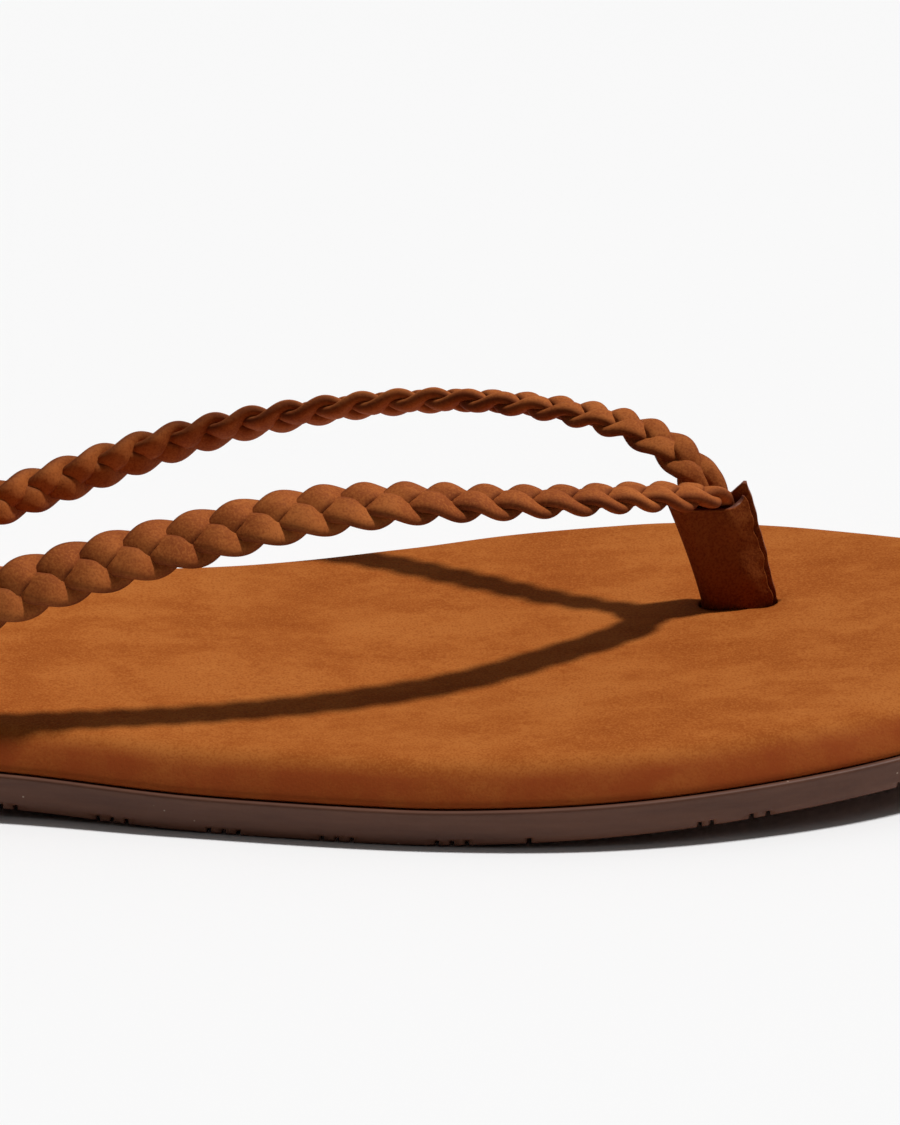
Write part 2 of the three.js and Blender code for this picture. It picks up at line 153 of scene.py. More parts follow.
# where each change sets in towards the toe side, in shares of the post's length: (start, run)
POST_PEAK_RUN = (0.76, 0.24)
POST_INNER_PEAK_RUN = (0.6, 0.3)
POST_PINCH_RUN = (0.62, 0.42)
POST_PUFF_RUN = (0.45, 0.3)
POST_RIPPLE_RUN = (0.7, 0.3)

# ---- straps ----------------------------------------------------------------
SLOT_X = -27.5
LATERAL_SLOT_Y = -24.1
MEDIAL_SLOT_Y = 19.1
SLOT_LENGTH = 9.0
SLOT_WIDTH = 3.8
BRAID_END_GAP = 7.9
BLEND_LENGTH = 4.0
TAIL_SPACING = 2.3
TIP_SPACING = 1.8
# width and thickness of a strand below the slot and inside the post
TAIL_SIZE = (2.0, 0.9)
TIP_SIZE = (2.3, 1.5)
STRAND_STEP = 0.22
STRAND_SIDES = 28
# steps between two control points, and half the step that a direction is taken over
PATH_STEPS = 24
PATH_TANGENT = 0.02
ACROSS = None
# from the tail under the footbed to the toe post:
# (x, y, height over the footbed, roll in degrees; ACROSS lays the width along X)
LATERAL_PATH = [
    (-27.5, -7, -6.15, ACROSS), (-27.5, -19, -6.15, ACROSS), (-27.5, -22.7, -5.95, ACROSS),
    (-27.5, -24, -4.2, ACROSS), (-27.3, -24.1, -1, ACROSS), (-26.3, -24.6, 2.7, 90),
    (-21.5, -25.8, 7.4, 80), (-13, -27, 11.6, 62), (-4, -26.4, 15.35, 52),
    (6, -24.4, 18.5, 46), (17, -22, 21.15, 41), (30, -19.2, 23.5, 36),
    (42, -16.1, 23.6, 19), (52, -12.4, 22.15, 8), (61, -8.1, 20.4, 2),
    (69, -2.3, 18.3, 2), (75, 2.5, 16.3, 5), (77.6, 6.2, 14.8, ACROSS),
    (78.3, 8.92, 13, ACROSS), (78.6, 9, 10.8, ACROSS), (79.2, 8.98, 8, ACROSS),
]
MEDIAL_PATH = [
    (-27.5, 2, -6.15, ACROSS), (-27.5, 14, -6.15, ACROSS), (-27.5, 17.7, -5.95, ACROSS),
    (-27.5, 19, -4.2, ACROSS), (-27.5, 19.1, -1, ACROSS), (-26.9, 19.4, 1.4, 90),
    (-24, 20.7, 3.5, 96), (-18, 23.8, 4.9, 101), (-10, 27.2, 6.15, 102),
    (-1, 31.7, 8.3, 95), (9, 35.2, 11.25, 75), (20, 36.6, 14.35, 50),
    (33, 35, 17.35, 33), (44, 32.4, 19.25, 27), (53, 28.4, 20.2, 13),
    (62, 22.9, 20.45, 2), (69.5, 17.2, 19.85, -12), (75, 13, 17.4, -31),
    (77.3, 10.9, 14.6, ACROSS), (78.1, 10.02, 11.6, ACROSS), (79, 9.98, 8, ACROSS),
]
# turns: turns of the braid, which begins at start, in millimetres along the strap
# shift: share of a turn by which the crossings are moved along
# tails, tips: places of the three strands side by side below the slot and at the post
# swing, wide, thick, rise: values at the rear end of the braid and at the post, for the
#     strand's swing across the strap, its width, its thickness and its rise through the strap
# lean: radians by which a strand is turned about itself at the braid's edges
STRAPS = [
    {"name": "lateral", "path": LATERAL_PATH, "side": -1, "turns": 7.946, "shift": 0.184,
     "start": 20, "tails": (1, 0, -1), "tips": (1, 0, -1), "swing": (2.05, 1.3),
     "wide": (4.1, 3.3), "thick": (1.75, 1.55), "rise": (0.95, 0.62), "lean": -0.12},
    {"name": "medial", "path": MEDIAL_PATH, "side": 1, "turns": 8.151, "shift": 0.117,
     "start": 24.9, "tails": (1, 0, -1), "tips": (1, -1, 0), "swing": (1.35, 1.15),
     "wide": (3.3, 2.9), "thick": (1.6, 1.5), "rise": (0.9, 0.62), "lean": 0.0},
]


# ============================ numbers and meshes ============================
def grow(value, start, run):
    """Rises along 3t^2 - 2t^3 from 0, where the value is start, to 1, a run further on."""
    t = np.clip((value - start) / run, 0.0, 1.0)
    return t * t * (3.0 - 2.0 * t)


def bend(x, z):
    """Height of a point of the sole: a toe spring s t^2 / (t + e) of the distance
    t past its start, a sine-squared arch, and a thinning that takes a share off
    the rubber height towards the toe."""
    x = np.asarray(x, float)
    z = np.asarray(z, float)
    past = np.clip(x - SPRING_START, 0, None)
    spring = SPRING_SLOPE * past ** 2 / (past + SPRING_EASE)
    arch = ARCH_RISE * np.sin(np.pi * np.clip((x - ARCH_START) / ARCH_LENGTH, 0, 1)) ** 2
    run = SOLE_HALF_LENGTH - THINNING_START
    thin = THINNING_AT_TOE * np.clip((x - THINNING_START) / run, 0, 1)
    return spring + arch + np.where(z <= RUBBER_TOP, z * (1 - thin), z - RUBBER_TOP * thin)


def unit(vectors):
    """Each row divided by its own length."""
    return vectors / np.linalg.norm(vectors, axis=-1, keepdims=True)


def grid_faces(rows, columns, closed=False, start=0):
    """Four-sided faces of a grid of rows by columns whose points are numbered
    row by row; a closed grid joins the last column to the first."""
    r = np.arange(rows - 1)[:, None] * columns
    c = np.arange(columns if closed else columns - 1)[None, :]
    n = (c + 1) % columns
    quads = np.stack([r + c, r + n, r + columns + n, r + columns + c], axis=-1)
    return quads.reshape(-1, 4) + start


def make_mesh(name, points, faces, masks=None):
    """Puts points in millimetres and lists of faces into a mesh in metres. masks
    holds named lists of values, one value per point."""
    mesh = bpy.data.meshes.new(name)
    polygons = [tuple(face) for group in faces for face in np.asarray(group).tolist()]
    mesh.from_pydata((np.asarray(points) * MM).tolist(), [], polygons)
    mesh.polygons.foreach_set("use_smooth", np.ones(len(mesh.polygons), bool))
    for key, values in (masks or {}).items():
        layer = mesh.attributes.new(key, "FLOAT", "POINT")
        layer.data.foreach_set("value", np.asarray(values, np.float32))
    mesh.update()
    piece = bpy.data.objects.new(name, mesh)
    bpy.context.scene.collection.objects.link(piece)
    return piece


def apply_modifiers(piece):
    """Swaps the piece's mesh for the one its modifiers give."""
    graph = bpy.context.evaluated_depsgraph_get()
    made = bpy.data.meshes.new_from_object(piece.evaluated_get(graph), depsgraph=graph)
    piece.modifiers.clear()
    piece.data = made


def cut(piece, cutters):
    """Takes the cutters' space out of the piece and removes the cutters."""
    for cutter in cutters:
        tool = piece.modifiers.new("cut", "BOOLEAN")
        tool.operation = "DIFFERENCE"
        tool.solver = "EXACT"
        tool.object = cutter
    apply_modifiers(piece)
    for cutter in cutters:
        bpy.data.objects.remove(cutter)


# ================================= the sole =================================
def outline_curve():
    """Closed Catmull-Rom curve through the outline's points, each span's share
    of the parameter growing with the square root of its length. Gives points
    and outward normals."""
    p1 = np.array(OUTLINE, float)
    p0, p2, p3 = (np.roll(p1, shift, axis=0) for shift in (1, -1, -2))
    d0, d1, d2 = (np.sqrt(np.linalg.norm(b - a, axis=1))[:, None]
                  for a, b in ((p0, p1), (p1, p2), (p2, p3)))
    t1 = ((p1 - p0) / d0 - (p2 - p0) / (d0 + d1) + (p2 - p1) / d1) * d1
    t2 = ((p2 - p1) / d1 - (p3 - p1) / (d1 + d2) + (p3 - p2) / d2) * d1
    t = np.arange(OUTLINE_SAMPLES)[None, :, None] / OUTLINE_SAMPLES
    a, b, c, d = (v[:, None, :] for v in (p1, t1, p2, t2))
    curve = (a + b * t + (3 * c - 3 * a - 2 * b - d) * t ** 2
             + (2 * a - 2 * c + b + d) * t ** 3).reshape(-1, 2)
    along = unit(np.roll(curve, -NORMAL_REACH, axis=0) - np.roll(curve, NORMAL_REACH, axis=0))
    return curve, np.stack([along[:, 1], -along[:, 0]], axis=1)


def outline_ring(stations):
    """Points of the outline at shared stations along X, bunched at both ends as
    a cosine: heel tip, outer side, toe tip, inner side back."""
    curve, normal = outline_curve()
    heel = int(np.argmin(curve[:, 0]))
    order = np.roll(np.arange(len(curve)), -heel)
    toe = int(np.argmax(curve[order, 0]))
    outer, inner = order[:toe + 1], np.append(order[toe:], heel)[::-1]
    x = -SOLE_HALF_LENGTH * np.cos(np.pi * np.arange(1, stations) / stations)
    values = np.column_stack([curve, normal])
    sides = [np.column_stack([np.interp(x, values[side, 0], values[side, k]) for k in range(4)])
             for side in (outer, inner)]
    return np.vstack([values[heel], sides[0], values[order[toe]], sides[1][::-1]])


def soft_waves(x, y):
    """Slight unevenness of padded leather: three crossing sine waves."""
    return (0.10 * np.sin(x / 19 + 0.7 * np.sin(y / 17)) * np.cos(y / 23 + 0.4)
            + 0.06 * np.sin(x / 8.3 + y / 14 + 1.1) + 0.035 * np.sin(y / 6.1 - x / 11))


def loft(section, stations, across, under_across, waves=False):
    """Closed body round the outline. Row k of the grid is the outline moved
    outward by the section's distance and lifted to its height; each end is
    closed by a sheet whose points run straight from side to side."""
    ring = outline_ring(stations)
    count = len(ring)
    section = np.array(section, float)
    x = ring[None, :, 0] + section[:, :1] * ring[None, :, 2]
    y = ring[None, :, 1] + section[:, :1] * ring[None, :, 3]
    z = bend(x, np.broadcast_to(section[:, 1:], x.shape))
    if waves:
        outside = (np.arange(len(section)) > COVER_OUTER_FOOT)[:, None]
        weight = grow(section[:, 1:], WAVE_FOOT, WAVE_RUN) * outside
        z = z + soft_waves(x, y) * weight
    points = [np.stack([x, y, z], axis=-1).reshape(-1, 3)]
    faces = [grid_faces(len(section), count, closed=True)]
    used = len(section) * count
    for row, columns, up in ((len(section) - 1, across, True), (0, under_across, False)):
        base = row * count
        share = np.arange(1, columns)[None, :, None] / columns
        near = points[0][base + 1:base + stations][:, None, :]
        far = points[0][base + count - 1:base + stations:-1][:, None, :]
        inside = near * (1 - share) + far * share
        inside[..., 2] = bend(inside[..., 0], section[row, 1])
        if waves and up:
            inside[..., 2] += soft_waves(inside[..., 0], inside[..., 1])
        points.append(inside.reshape(-1, 3))
        number = np.empty((stations - 1, columns + 1), int)
        number[:, 0] = base + np.arange(1, stations)
        number[:, -1] = base + count - np.arange(1, stations)
        number[:, 1:-1] = used + np.arange((stations - 1) * (columns - 1)).reshape(stations - 1, -1)
        used += (stations - 1) * (columns - 1)
        quads = np.stack([number[:-1, :-1], number[1:, :-1], number[1:, 1:], number[:-1, 1:]], -1)
        heel = np.stack([np.full(columns, base), number[0, :-1], number[0, 1:]], -1)
        toe = np.stack([np.full(columns, base + stations), number[-1, 1:], number[-1, :-1]], -1)
        sheet = [quads.reshape(-1, 4), heel, toe]
        faces += sheet if up else [part[:, ::-1] for part in sheet]
    return np.vstack(points), faces


def slot_prism(name, x, y, length, width):
    """Upright prism, right through the cover, whose base is a straight slot with
    half-round ends."""
    angle = np.linspace(-np.pi / 2, np.pi / 2, SLOT_ARC_POINTS)
    reach = (length - width) / 2
    right = np.column_stack([reach + np.cos(angle) * width / 2, np.sin(angle) * width / 2])
    loop = np.vstack([right, -right]) + (x, y)
    count = len(loop)
    points = np.vstack([np.column_stack([loop, np.full(count, z)]) for z in (0.0, CUTTER_TOP)])
    caps = [np.arange(count)[None, ::-1], np.arange(count, 2 * count)[None, :]]
    return make_mesh(name, points, [grid_faces(2, count, closed=True)] + caps)


def chevron_prisms():
    """Bars in groups of three, with a few single ones at the toe, each bent to a
    point in the middle of the sole and following its underside."""
    tips = (LAST_GROUP - np.arange(GROUPS_BEHIND)[:, None] * GROUP_PITCH
            + np.array([-1, 0, 1]) * GROOVE_STEP).ravel()
    tips = np.append(tips, LONE_GROOVES)
    y = np.array([-GROOVE_HALF_SPAN, 0.0, GROOVE_HALF_SPAN])
    corner = np.array([[-0.5, 0], [0.5, 0], [0.5, 1], [-0.5, 1]])
    x = (tips[:, None, None] - np.abs(y)[None, :, None] * CHEVRON_REACH / GROOVE_HALF_SPAN
         + corner[None, None, :, 0] * GROOVE_WIDTH)
    z = bend(x, 0) + corner[None, None, :, 1] * (GROOVE_DEPTH + BAR_BELOW) - BAR_BELOW
    points = np.stack([x, np.broadcast_to(y[None, :, None], x.shape), z], -1).reshape(-1, 3)
    per_bar = len(y) * len(corner)
    first_end = np.arange(len(corner))[None, :]
    last_end = per_bar - 1 - first_end
    faces = []
    for start in range(0, len(points), per_bar):
        side = grid_faces(len(y), len(corner), closed=True, start=start)
        faces += [side[:, ::-1], first_end + start, last_end + start]
    return make_mesh("tread_bars", points, faces)


def outsole():
    """Rubber tray with a thin lip, its underside cut by the tread."""
    piece = make_mesh("rubber_outsole", *loft(OUTSOLE_SECTION, *OUTSOLE_GRID))
    cut(piece, [chevron_prisms()])
    return piece


def footbed():
    """Leather wrapped over the cushion and under the board, with the slots for
    the straps and the post. Round each slot the top dips by its depth times
    exp(-(g / r)^2) of the distance g from the slot's edge. The mask rolled
    grows down the rounded edge, where the material paints a darker band as shade."""
    slots = [
        ("lateral_slot", SLOT_X, LATERAL_SLOT_Y, SLOT_LENGTH, SLOT_WIDTH),
        ("medial_slot", SLOT_X, MEDIAL_SLOT_Y, SLOT_LENGTH, SLOT_WIDTH),
        ("post_slot", POST_X, POST_Y, POST_LENGTH, POST_THICKNESS),
    ]
    points, faces = loft(COVER_SECTION, *COVER_GRID, waves=True)
    top = bend(points[:, 0], FOOTBED_TOP)
    above = grow(points[:, 2] - top, -DIP_FLOOR, DIP_RUN)
    # rolled: the rounded edge, darkened in the material as painted shade
    rolled = grow(top - points[:, 2], ROLL_START, ROLL_RUN)
    for (_, x, y, length, width), depth in zip(slots, (SLOT_DIP, SLOT_DIP, POST_DIP)):
        reach = (length - width) / 2
        dx = np.clip(np.abs(points[:, 0] - x) - reach, 0, None)
        gap = np.hypot(dx, points[:, 1] - y) - width / 2
        points[:, 2] -= depth * np.exp(-(np.clip(gap, 0, None) / DIP_REACH) ** 2) * above
    piece = make_mesh("footbed_leather", points, faces, masks={"rolled": rolled})
    cut(piece, [slot_prism(name, x, y, length + more_length, width + more_width)
                for (name, x, y, length, width), (more_length, more_width)
                in zip(slots, ((0, 0), (0, 0), POST_SLACK))])
    return piece


# =============================== the toe post ===============================
def folded_strip():
    """One way round the folded strip: along the outer layer from its free edge
    to the fold, half a turn round the fold, and along the inner layer to an edge
    that lies a little past the outer one's. Gives the places along and across
    the post, and -1 on the outer layer or 1 on the inner one."""
    around = np.linspace(0, 1, POST_GRID[1])
    gap = (POST_THICKNESS - POST_WALL) / 2
    flat = 0.5 - POST_FOLD_SHARE
    outer = np.clip(around / flat, 0, 1)
    inner = np.clip((around - 0.5 - POST_FOLD_SHARE) / flat, 0, 1)
    turn = np.clip((around - flat) / (2 * POST_FOLD_SHARE), 0, 1) * np.pi
    straight = 2 * POST_HALF - gap
    x = POST_HALF - outer * straight - np.sin(turn) * gap + inner * (straight + POST_INNER_PASS)
    x = -POST_HALF + (x + POST_HALF) * POST_DRAWN_BACK
    return x, -np.cos(turn) * gap, np.where(around < 0.5, -1.0, 1.0)


def post_sleeve():
    """A strip of leather folded round the strap ends: the folded strip carried
    upwards. Towards its free edges it rises to a peak, is pinched together,
    puffs out as a sine wave of the height and ripples as two; upwards it flares,
    widens and leans to the heel, a little more the higher it is."""
    x, y, layer = folded_strip()
    base = float(bend(POST_X, FOOTBED_TOP))
    bottom = float(bend(POST_X, POST_FOOT))
    edge = np.clip((x + POST_HALF) / (2 * POST_HALF), 0, 1.1)
    peak_start, peak_run = POST_PEAK_RUN
    peak = POST_PEAK * np.clip((edge - peak_start) / peak_run, 0, 1) ** 1.4
    inner_peak = np.where(layer > 0, POST_INNER_PEAK * grow(edge, *POST_INNER_PEAK_RUN), 0)
    top = base + POST_RISE + peak + inner_peak
    up = np.linspace(0, 1, POST_GRID[0])[:, None]
    z = bottom + (top - bottom) * up
    height = np.clip(z - base, 0, None)
    level = height / POST_FULL_SPREAD
    pinch = 1 - POST_PINCH * grow(edge, *POST_PINCH_RUN)
    flare = 1 + POST_FLARE * level
    puff = 1 + POST_PUFF * np.sin(z * 0.9 + 1.0) * grow(edge, *POST_PUFF_RUN)
    widen = 1 + POST_WIDEN * level ** 1.6
    ripple = 0.16 * np.sin(z * 1.15 + 0.6) + 0.10 * np.sin(z * 2.6 + 2.0)
    ripple = ripple * grow(edge, *POST_RIPPLE_RUN) * np.where(layer < 0, 1.0, POST_INNER_RIPPLE)
    heelward = np.clip(1 - edge, 0, 1) * (0.3 - 1.1 * level ** 1.3)
    lean = POST_LEAN * height * (0.8 + 0.2 * level)
    xx = x * widen + ripple + heelward - lean
    yy = y * pinch * flare * puff
    points = np.stack([POST_X + xx, POST_Y + yy, z], -1).reshape(-1, 3)
    piece = make_mesh("toe_post_leather", points, [grid_faces(*POST_GRID)])
    shell = piece.modifiers.new("leather", "SOLIDIFY")
    shell.thickness = POST_WALL * MM
    shell.offset = 0.0
    shell.use_even_offset = True
    shell.material_offset_rim = 1
    return piece


# ================================ the straps ================================
def spline(rows, t):
    """Catmull-Rom curve through evenly numbered rows, read at parameters t."""
    rows = np.asarray(rows, float)
    rows = np.vstack([2 * rows[0] - rows[1], rows, 2 * rows[-1] - rows[-2]])
    i = np.clip(np.floor(t).astype(int), 0, len(rows) - 4)
    f = (t - i)[:, None]
    a, b, c, d = rows[i], rows[i + 1], rows[i + 2], rows[i + 3]
    return b + 0.5 * f * (c - a + f * (2 * a - 5 * b + 4 * c - d + f * (3 * (b - c) + d - a)))


def width_hints(path, side):
    """Direction of the strap's width at each control point: outward and level,
    turned down by the roll about the strap."""
    places = np.array([row[:3] for row in path], float)
    hints = []
    for k, row in enumerate(path):
        if row[3] is ACROSS:
            hints.append((1.0, 0.0, 0.0))
            continue
        along = unit(places[k + 1] - places[k - 1])
        outward = unit(np.array([-along[1], along[0], 0.0])) * side
        upward = unit(np.cross(outward, along))
        upward *= np.sign(upward[2])
        roll = math.radians(row[3])
        hints.append(tuple(outward * math.cos(roll) - upward * math.sin(roll)))
    return np.array(hints)


def strap_line(strap):
    """The strap's middle line: place, direction, width direction and the
    direction square to both, all as functions of the length along it."""
    places = np.array([row[:3] for row in strap["path"]], float)
    places[:, 2] += bend(places[:, 0], FOOTBED_TOP)
    hints = width_hints(strap["path"], strap["side"])
    t = np.linspace(0, len(places) - 1, PATH_STEPS * (len(places) - 1) + 1)
    dense = spline(places, t)
    length = np.concatenate([[0], np.cumsum(np.linalg.norm(np.diff(dense, axis=0), axis=1))])

    def at(s):
        u = np.interp(s, length, t)
        place = spline(places, u)
        along = unit(spline(places, np.clip(u + PATH_TANGENT, 0, t[-1]))
                     - spline(places, np.clip(u - PATH_TANGENT, 0, t[-1])))
        width = spline(hints, u)
        width = unit(width - along * np.sum(along * width, axis=1, keepdims=True))
        return place, along, width, np.cross(along, width)

    return length[-1], at


def blend(pair, share):
    """Straight run from the first value to the second."""
    return pair[0] + (pair[1] - pair[0]) * share


def strand_centre(strap, index, s, total, at):
    """Middle line of one strand: across the strap it swings as the sine of the
    phase, and through the strap as the sine of twice the phase, so it passes
    over and under its two neighbours; at both ends it runs straight in line."""
    end = total - BRAID_END_GAP
    q = np.clip((s - strap["start"]) / (end - strap["start"]), 0, 1)
    phase = 2 * np.pi * (strap["turns"] * q + strap["shift"] + index / 3)
    braided = (grow(s, strap["start"] - BLEND_LENGTH / 2, BLEND_LENGTH)
               * (1 - grow(s, end - BLEND_LENGTH / 2, BLEND_LENGTH)))
    place, _, width, normal = at(s)
    swing = blend(strap["swing"], q)
    beside = np.where(s < total / 2, strap["tails"][index] * TAIL_SPACING,
                      strap["tips"][index] * TIP_SPACING)
    across = swing * np.sin(phase) * braided + beside * (1 - braided)
    through = -blend(strap["rise"], q) * np.sin(2 * phase) * braided
    centre = place + width * across[:, None] + normal * through[:, None]
    return centre, width, normal, phase, braided, q


def strand(strap, index):
    """One soft leather strand: a flattened oval, cos^0.8 by sin^0.9 of the angle
    round it, carried along the strand's own line and closed by a fan at each end.
    The oval is turned by the lean times the sine of the phase. The mask side is
    cos^4, strongest along the strand's two narrow sides, down in the creases between strands, where the
    material paints shade."""
    total, at = strap_line(strap)
    s = np.linspace(0, total, int(total / STRAND_STEP))
    centre, width, normal, phase, braided, q = strand_centre(strap, index, s, total, at)
    along = unit(np.gradient(centre, axis=0))
    lean = strap["lean"] * np.sin(phase) * braided
    face = normal * np.cos(lean)[:, None] + width * np.sin(lean)[:, None]
    face = unit(face - along * np.sum(face * along, axis=1, keepdims=True))
    broad = np.cross(face, along)
    near_toe = grow(s / total, 0.5, 0.25)
    end_w = TAIL_SIZE[0] + (TIP_SIZE[0] - TAIL_SIZE[0]) * near_toe
    end_t = TAIL_SIZE[1] + (TIP_SIZE[1] - TAIL_SIZE[1]) * near_toe
    w = end_w + (blend(strap["wide"], q) - end_w) * braided
    t = end_t + (blend(strap["thick"], q) - end_t) * braided
    sides = STRAND_SIDES
    angle = 2 * np.pi * np.arange(sides) / sides
    c, n = np.cos(angle), np.sin(angle)
    round_w = np.sign(c) * np.abs(c) ** 0.8
    round_t = np.sign(n) * np.abs(n) ** 0.9
    points = (centre[:, None, :]
              + broad[:, None, :] * (w[:, None] / 2 * round_w[None, :])[..., None]
              + face[:, None, :] * (t[:, None] / 2 * round_t[None, :])[..., None])
    rows = len(s)
    cloud = np.vstack([points.reshape(-1, 3), centre[:1], centre[-1:]])
    ring = np.arange(sides)
    after = (ring + 1) % sides
    last = (rows - 1) * sides
    first_cap = np.stack([np.full(sides, rows * sides), after, ring], -1)
    last_cap = np.stack([np.full(sides, rows * sides + 1), last + ring, last + after], -1)
    # side marks the narrow sides, in the creases, for painted shade
    side = np.concatenate([np.tile(np.abs(c) ** 4, rows), [1, 1]])
    name = f"{strap['name']}_leather_strand_{index + 1}"
    faces = [grid_faces(rows, sides, closed=True), first_cap, last_cap]
    return make_mesh(name, cloud, faces, masks={"side": side})


# ================================ materials =================================
def feed(tree, socket, value):
    """Links the socket to another one, or sets its own value."""
    if isinstance(value, bpy.types.NodeSocket):
        tree.links.new(value, socket)
    else:
        socket.default_value = value


def add(tree, kind, inputs=None, **settings):
    """Adds a node, makes its settings and feeds its inputs."""
    node = tree.nodes.new(kind)
    for key, value in settings.items():
        setattr(node, key, value)
    for key, value in (inputs or {}).items():
        feed(tree, node.inputs[key], value)
    return node


def ramp(tree, factor, stops):
    """A colour ramp with the given (position, grey) stops."""
    node = add(tree, "ShaderNodeValToRGB", {"Fac": factor})
    elements = node.color_ramp.elements
    while len(elements) < len(stops):
        elements.new(0.5)
    for element, (position, grey) in zip(elements, stops):
        element.position = position
        element.color = (grey, grey, grey, 1)
    return node.outputs["Color"]


def srgb(red, green, blue):
    """Linear colour, with full alpha, of an 8-bit display colour."""
    value = np.array([red, green, blue]) / 255
    linear = np.where(value <= 0.04045, value / 12.92, ((value + 0.055) / 1.055) ** 2.4)
    return (*linear.tolist(), 1.0)


def node_group(name, inputs, outputs):
    """An empty node group with typed inputs and outputs."""
    tree = bpy.data.node_groups.new(name, "ShaderNodeTree")
    for key, kind, default in inputs:
        socket = tree.interface.new_socket(key, in_out="INPUT", socket_type="NodeSocket" + kind)
        if default is not None:
            socket.default_value = default
    for key, kind in outputs:
        tree.interface.new_socket(key, in_out="OUTPUT", socket_type="NodeSocket" + kind)
    return tree, tree.nodes.new("NodeGroupInput").outputs, tree.nodes.new("NodeGroupOutput").inputs


def noise(tree, vector, scale, detail=2.0, rough=0.5):
    """Value of a fractal noise, from 0 to 1."""
    return add(tree, "ShaderNodeTexNoise", {
        "Vector": vector, "Scale": scale, "Detail": detail, "Roughness": rough}).outputs["Fac"]


def times(tree, a, b):
    """Product of two values."""
    return add(tree, "ShaderNodeMath", {0: a, 1: b}, operation="MULTIPLY").outputs[0]


def plus(tree, a, b):
    """Sum of two values."""
    return add(tree, "ShaderNodeMath", {0: a, 1: b}, operation="ADD").outputs[0]


def mix_colour(tree, factor, a, b):
    """Colour a changed to colour b by the factor. The Mix node keeps its factor
    at input 0, its colours at inputs 6 and 7 and the mixed colour at output 2."""
    return add(tree, "ShaderNodeMix", {0: factor, 6: a, 7: b}, data_type="RGBA").outputs[2]


def nap_group():
    """Brushed leather: clouds of two sizes drawn out along X, and a fine nap."""
    tree, take, give = node_group(
        "brushed_nap",
        [("Vector", "Vector", None), ("Main", "Color", None), ("Pale", "Color", None),
         ("Dark", "Color", None), ("Clouds", "Float", 0.5), ("Nap", "Float", 0.5)],
        [("Colour", "Color"), ("Height", "Float"), ("Rough", "Float")])
    vector = take["Vector"]
    stretched = add(tree, "ShaderNodeMapping", {"Vector": vector, "Scale": (0.65, 1.0, 1.0)}).outputs[0]
    cloud = noise(tree, stretched, 75.0, 4.0, 0.6)
    patch = noise(tree, stretched, 260.0, 3.0, 0.6)
    nap = noise(tree, vector, 2000.0, 1.0, 0.5)
    fine = noise(tree, vector, 3800.0, 1.0, 0.5)
    broad = plus(tree, times(tree, cloud, 0.62), times(tree, patch, 0.38))
    pale = ramp(tree, broad, [(0.46, 0.0), (0.66, 1.0)])
    dark = ramp(tree, broad, [(0.34, 1.0), (0.54, 0.0)])
    colour = mix_colour(tree, times(tree, pale, take["Clouds"]), take["Main"], take["Pale"])
    colour = mix_colour(tree, times(tree, dark, take["Clouds"]), colour, take["Dark"])
    grain = plus(tree, times(tree, nap, 0.3), times(tree, fine, 0.7))
    speck = ramp(tree, grain, [(0.36, 1.0), (0.5, 0.0)])
    light = ramp(tree, grain, [(0.5, 0.0), (0.64, 1.0)])
    colour = mix_colour(tree, times(tree, speck, take["Nap"]), colour, take["Dark"])
    colour = mix_colour(tree, times(tree, light, take["Nap"]), colour, take["Pale"])
    tree.links.new(colour, give["Colour"])
    height = plus(tree, times(tree, nap, 0.6), times(tree, fine, 0.4))
    tree.links.new(height, give["Height"])
    tree.links.new(plus(tree, times(tree, nap, 0.2), 0.72), give["Rough"])
    return tree


def dust_group():
    """Specks of dust: round spots in the few cells that a random value picks."""
    tree, take, give = node_group(
        "dust_specks", [("Vector", "Vector", None), ("Scale", "Float", 900.0), ("Amount", "Float", 0.5)],
        [("Mask", "Float")])
    cells = add(tree, "ShaderNodeTexVoronoi", {"Vector": take["Vector"], "Scale": take["Scale"]})
    spot = ramp(tree, cells.outputs["Distance"], [(0.06, 1.0), (0.13, 0.0)])
    lot = add(tree, "ShaderNodeSeparateColor", {"Color": cells.outputs["Color"]}).outputs[0]
    chosen = ramp(tree, lot, [(0.90, 0.0), (0.97, 1.0)])
    mask = times(tree, times(tree, spot, chosen), take["Amount"])
    tree.links.new(mask, give["Mask"])
    return tree


NAP = nap_group()
DUST = dust_group()


def new_material(name, roughness=0.8, **settings):
    """A material with one Principled shader; returns it with its tree, its
    shader and the object coordinates."""
    material = bpy.data.materials.new(name)
    material.use_nodes = True
    tree = material.node_tree
    shader = tree.nodes["Principled BSDF"]
    shader.inputs["Roughness"].default_value = roughness
    for key, value in settings.items():
        shader.inputs[key.replace("_", " ")].default_value = value
    place = tree.nodes.new("ShaderNodeTexCoord").outputs
    return material, tree, shader, place


def use_group(tree, made, inputs):
    """Places a node group, feeds its inputs and gives its outputs."""
    return add(tree, "ShaderNodeGroup", inputs, node_tree=made).outputs


def bump(tree, shader, height, strength, distance):
    """Raises the shader's surface by the height times the distance in metres."""
    node = add(tree, "ShaderNodeBump", {"Height": height, "Strength": strength, "Distance": distance})
    tree.links.new(node.outputs[0], shader.inputs["Normal"])


